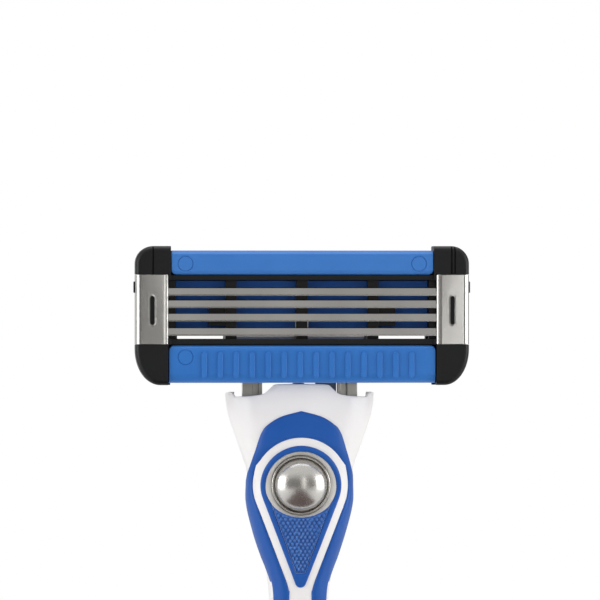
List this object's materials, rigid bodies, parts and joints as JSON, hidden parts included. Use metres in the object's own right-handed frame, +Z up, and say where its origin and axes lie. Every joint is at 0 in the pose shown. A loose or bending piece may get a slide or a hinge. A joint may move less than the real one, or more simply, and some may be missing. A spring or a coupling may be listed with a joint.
{
  "type": "cartridge razor",
  "caption": "Wet-shave razor: white and blue rubber-gripped handle with a sprung round release button, and a pivoting blade cartridge with lubricating strip and ribbed guard.",
  "frame": {"origin": "centre of the handle's flat butt face", "axes": "+Z up the handle to the cartridge, -Y the way the blades and the button face, X along the blades"},
  "size_m": [0.0422, 0.0305, 0.1401],
  "materials": {
    "white_plastic": "semi-gloss white moulding",
    "blue_rubber": "soft satin blue overmould",
    "blue_plastic": "satin blue moulding",
    "strip_polymer": "waxy water-soluble polymer",
    "black_plastic": "fine satin black moulding",
    "grey_plastic": "satin grey moulding",
    "blue_grey_plastic": "satin blue-grey moulding",
    "silver_metal": "satin die-cast",
    "steel": "plain steel",
    "blade_steel": "ground and polished strip",
    "clip_sheet": "brushed sheet, bent round the frame",
    "chrome": "satin chrome"
  },
  "bodies": {
    "handle": {"front_shell": "white_plastic", "back_cover": "white_plastic", "outer_grip": "blue_rubber", "inner_grip": "blue_rubber", "thumb_pad": "blue_rubber", "rear_grip": "blue_rubber", "end_cap": "blue_plastic", "steel_core": "steel", "button_guide": "white_plastic", "button_bezel": "chrome", "arm_left": "silver_metal", "arm_right": "silver_metal", "head_chassis": "grey_plastic", "button_spring": "steel", "plunger_spring": "steel"},
    "button": {"release_button": "chrome"},
    "ejector": {"ejector": "blue_grey_plastic"},
    "plunger": {"pivot_plunger": "grey_plastic"},
    "connector": {"docking_connector": "silver_metal"},
    "cartridge": {"cartridge_frame": "black_plastic", "back_plate": "blue_plastic", "guard_bar": "blue_plastic", "lubricating_strip": "strip_polymer", "clip_left": "clip_sheet", "clip_right": "clip_sheet", "blade_1": "blade_steel", "blade_2": "blade_steel", "blade_3": "blade_steel", "blade_4": "blade_steel", "blade_support_1": "blade_steel", "blade_support_2": "blade_steel", "blade_support_3": "blade_steel", "blade_support_4": "blade_steel"}
  },
  "joints": [
    {"name": "button_press", "type": "slide", "parent": "handle", "child": "button", "axis": [0, 1, 0], "range_m": [0, 0.001], "stiffness_N_per_m": 1500, "springref_m": -0.0008, "deforming": ["button_spring"]},
    {"name": "ejector_lift", "type": "slide", "parent": "handle", "child": "ejector", "axis": [0, 0, 1], "range_m": [0, 0.0014]},
    {"name": "plunger_slide", "type": "slide", "parent": "handle", "child": "plunger", "axis": [0, 0, -1], "range_m": [0, 0.0021], "deforming": ["plunger_spring"]},
    {"name": "cartridge_release", "type": "slide", "parent": "handle", "child": "connector", "axis": [0, 0, 1], "range_m": [0, 0.012]},
    {"name": "cartridge_pivot", "type": "hinge", "parent": "connector", "child": "cartridge", "pos_m": [0, -0.0184, 0.1276], "axis": [-1, 0, 0], "range_deg": [0, 40], "stiffness_Nm_per_rad": 0.02, "springref_deg": -20.05}
  ],
  "couplings": [
    {"joint": "ejector_lift", "follows": "button_press", "ratio": 1.4},
    {"joint": "plunger_slide", "follows": "cartridge_pivot", "m_per_rad": 0.003}
  ]
}
